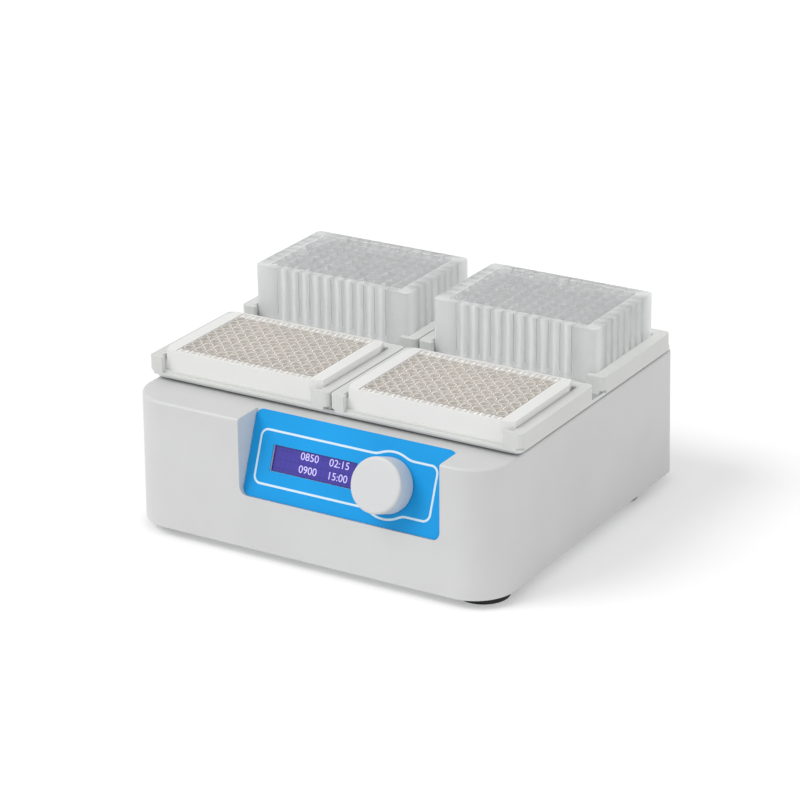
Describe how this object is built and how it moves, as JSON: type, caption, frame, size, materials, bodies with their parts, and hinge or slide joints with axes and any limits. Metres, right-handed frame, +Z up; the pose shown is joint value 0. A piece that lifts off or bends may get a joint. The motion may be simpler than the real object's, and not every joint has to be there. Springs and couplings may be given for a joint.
{
  "type": "microplate shaker",
  "caption": "Bench-top microplate shaker: boxy housing on rubber feet with an inclined panel, display and knob, an orbiting platform with tray holders, and low and deep well plates in them",
  "frame": {"origin": "midway between the knob's front and the rear wall and between the sides, on the surface that the feet stand on", "axes": "+X to the right seen from the panel, +Y to the back, +Z up"},
  "size_m": [0.2924, 0.2752, 0.1465],
  "materials": {
    "housing": "fine satin",
    "overlay": "printed film",
    "display": "clear window",
    "sheet": "plated sheet",
    "board": "circuit board",
    "screw": "zinc plated",
    "black_plastic": "moulded",
    "shaft": "ground",
    "knob": "satin",
    "rubber": "matt",
    "aluminium": "satin",
    "painted_can": "black",
    "iron": "plain",
    "holder": "moulded",
    "plate_frame": "opaque white",
    "strip": "clear polystyrene",
    "deep_plate": "translucent polypropylene",
    "brass": "plated",
    "fuse_glass": "clear"
  },
  "bodies": {
    "housing": {"housing_shell": "housing", "panel_overlay": "overlay", "display_glass": "display", "display_bezel": "sheet", "display_board": "board", "display_screws": "screw", "encoder_body": "sheet", "encoder_nut": "screw", "encoder_board": "board", "base_plate": "sheet", "feet": "rubber", "foot_bolts": "screw", "foot_nuts": "screw", "pillars": "sheet", "deck_plate": "aluminium", "chassis_screws": "screw", "motor_can": "painted_can", "motor_front": "aluminium", "motor_stator": "iron", "crank_blocks": "aluminium", "power_board": "board", "control_board": "board", "board_posts": "black_plastic", "power_parts": "black_plastic", "control_parts": "black_plastic", "inlet_body": "black_plastic", "inlet_blades": "brass", "switch_body": "black_plastic"},
    "drive": {"drive_shaft": "shaft", "motor_rotor": "iron", "counterweight": "iron"},
    "platform": {"platform_plate": "aluminium", "bearing_cups": "aluminium", "holder_front_left": "holder", "holder_front_right": "holder", "holder_rear_left": "holder", "holder_rear_right": "holder", "holder_screws": "screw"},
    "low_left": {"low_plate_left_frame": "plate_frame", "low_plate_left_strips": "strip"},
    "low_right": {"low_plate_right_frame": "plate_frame", "low_plate_right_strips": "strip"},
    "deep_left": {"deep_plate_left": "deep_plate"},
    "deep_right": {"deep_plate_right": "deep_plate"},
    "encoder": {"encoder_rotor": "black_plastic"},
    "knob": {"knob_shaft": "shaft", "knob": "knob"},
    "rocker": {"switch_rocker": "black_plastic"},
    "drawer": {"fuse_drawer": "black_plastic", "fuse": "fuse_glass"},
    "crank_left_front": {"crank_left_front": "shaft"},
    "crank_right_front": {"crank_right_front": "shaft"},
    "crank_left_rear": {"crank_left_rear": "shaft"},
    "crank_right_rear": {"crank_right_rear": "shaft"}
  },
  "joints": [
    {"name": "drive_turn", "type": "hinge", "parent": "housing", "child": "drive", "pos_m": [0, 0.0172, 0.06], "axis": [0, 0, 1], "continuous": true},
    {"name": "platform_orbit", "type": "hinge", "parent": "drive", "child": "platform", "pos_m": [0, 0.0187, 0.095], "axis": [0, 0, 1], "continuous": true},
    {"name": "crank_left_front_turn", "type": "hinge", "parent": "housing", "child": "crank_left_front", "pos_m": [-0.108, -0.0628, 0.08], "axis": [0, 0, 1], "continuous": true},
    {"name": "crank_right_front_turn", "type": "hinge", "parent": "housing", "child": "crank_right_front", "pos_m": [0.108, -0.0628, 0.08], "axis": [0, 0, 1], "continuous": true},
    {"name": "crank_left_rear_turn", "type": "hinge", "parent": "housing", "child": "crank_left_rear", "pos_m": [-0.108, 0.0972, 0.08], "axis": [0, 0, 1], "continuous": true},
    {"name": "crank_right_rear_turn", "type": "hinge", "parent": "housing", "child": "crank_right_rear", "pos_m": [0.108, 0.0972, 0.08], "axis": [0, 0, 1], "continuous": true},
    {"name": "low_left_lift", "type": "slide", "parent": "platform", "child": "low_left", "axis": [0, 0, 1], "range_m": [0, 0.06]},
    {"name": "low_right_lift", "type": "slide", "parent": "platform", "child": "low_right", "axis": [0, 0, 1], "range_m": [0, 0.06]},
    {"name": "deep_left_lift", "type": "slide", "parent": "platform", "child": "deep_left", "axis": [0, 0, 1], "range_m": [0, 0.06]},
    {"name": "deep_right_lift", "type": "slide", "parent": "platform", "child": "deep_right", "axis": [0, 0, 1], "range_m": [0, 0.06]},
    {"name": "encoder_turn", "type": "hinge", "parent": "housing", "child": "encoder", "pos_m": [0.0583, -0.11448, 0.07011], "axis": [0, -0.9323, 0.3616], "continuous": true},
    {"name": "knob_press", "type": "slide", "parent": "encoder", "child": "knob", "axis": [0, 0.9323, -0.3616], "range_m": [0, 0.0006], "stiffness_N_per_m": 800, "springref_m": -0.0006},
    {"name": "rocker_tip", "type": "hinge", "parent": "housing", "child": "rocker", "pos_m": [-0.062, 0.1311, 0.038], "axis": [1, 0, 0], "range_deg": [-9, 9]},
    {"name": "drawer_pull", "type": "slide", "parent": "housing", "child": "drawer", "axis": [0, 1, 0], "range_m": [0, 0.024]}
  ],
  "couplings": [
    {"joint": "platform_orbit", "follows": "drive_turn", "ratio": -1},
    {"joint": "crank_left_front_turn", "follows": "drive_turn", "ratio": 1},
    {"joint": "crank_right_front_turn", "follows": "drive_turn", "ratio": 1},
    {"joint": "crank_left_rear_turn", "follows": "drive_turn", "ratio": 1},
    {"joint": "crank_right_rear_turn", "follows": "drive_turn", "ratio": 1}
  ]
}
